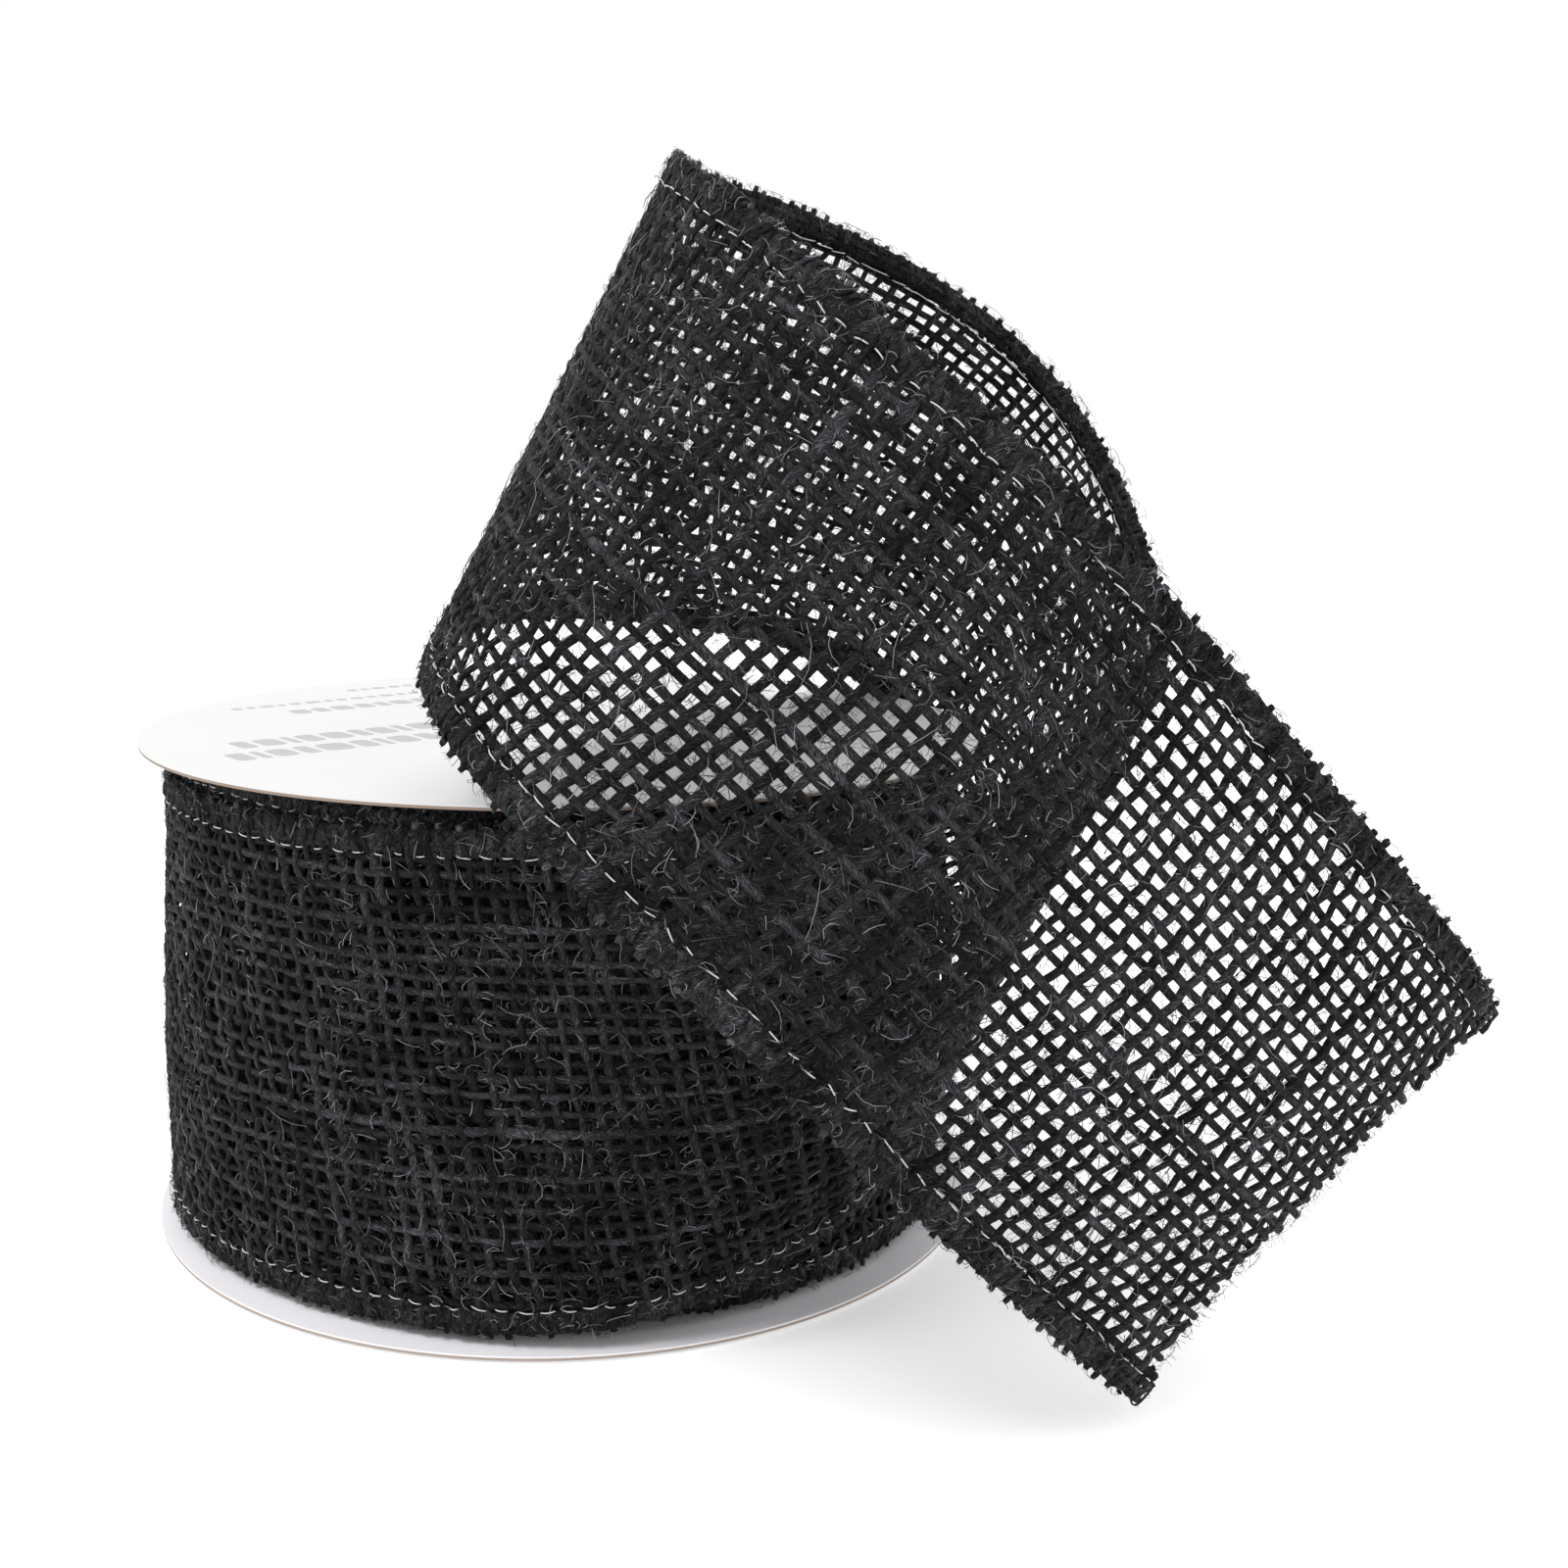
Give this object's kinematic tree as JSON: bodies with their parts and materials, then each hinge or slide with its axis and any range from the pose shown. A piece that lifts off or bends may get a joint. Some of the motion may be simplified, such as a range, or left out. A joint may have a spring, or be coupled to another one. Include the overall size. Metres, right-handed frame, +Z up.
{
  "type": "ribbon spool",
  "caption": "Wired black burlap ribbon with folded, stitched hems, wound on a white card spool that stands on its flange, the loose end curling over the top and down to the table",
  "frame": {"origin": "centre of the lower flange's underside, where the spool's axis meets the table", "axes": "+Z is up along the spool's axis; -Y is the front, the side the loose end hangs down; +X is to the right seen from the front"},
  "size_m": [0.1689, 0.1566, 0.1458],
  "materials": {
    "flange_card": "smooth white coated card",
    "core_card": "plain brown kraft tube",
    "burlap": "open plain weave of coarse black jute yarn",
    "hem_wire": "fine florist's wire",
    "stitching_thread": "thin pale nylon thread"
  },
  "bodies": {
    "card_spool": {"lower_flange": "flange_card", "upper_flange": "flange_card", "core_tube": "core_card", "wound_ribbon": "burlap", "lower_hem_wire_coiled": "hem_wire", "upper_hem_wire_coiled": "hem_wire"},
    "unwinding_ribbon": {"outer_turn": "burlap", "rising_ribbon": "burlap", "lower_hem_wire_outer_turn": "hem_wire", "upper_hem_wire_outer_turn": "hem_wire", "lower_hem_stitching_outer_turn": "stitching_thread", "upper_hem_stitching_outer_turn": "stitching_thread", "lower_hem_wire_rising": "hem_wire", "upper_hem_wire_rising": "hem_wire", "lower_hem_stitching_rising": "stitching_thread", "upper_hem_stitching_rising": "stitching_thread"},
    "ribbon_end": {"falling_ribbon": "burlap", "lower_hem_wire_falling": "hem_wire", "upper_hem_wire_falling": "hem_wire", "lower_hem_stitching_falling": "stitching_thread", "upper_hem_stitching_falling": "stitching_thread"}
  },
  "joints": [
    {"name": "unwind", "type": "hinge", "parent": "card_spool", "child": "unwinding_ribbon", "pos_m": [0, 0, 0.0347], "axis": [0, 0, 1], "continuous": true},
    {"name": "curl_bend", "type": "hinge", "parent": "unwinding_ribbon", "child": "ribbon_end", "pos_m": [-0.00119, -0.0414, 0.11554], "axis": [-0.4454, -0.1504, -0.8826], "range_deg": [0, 45]}
  ]
}
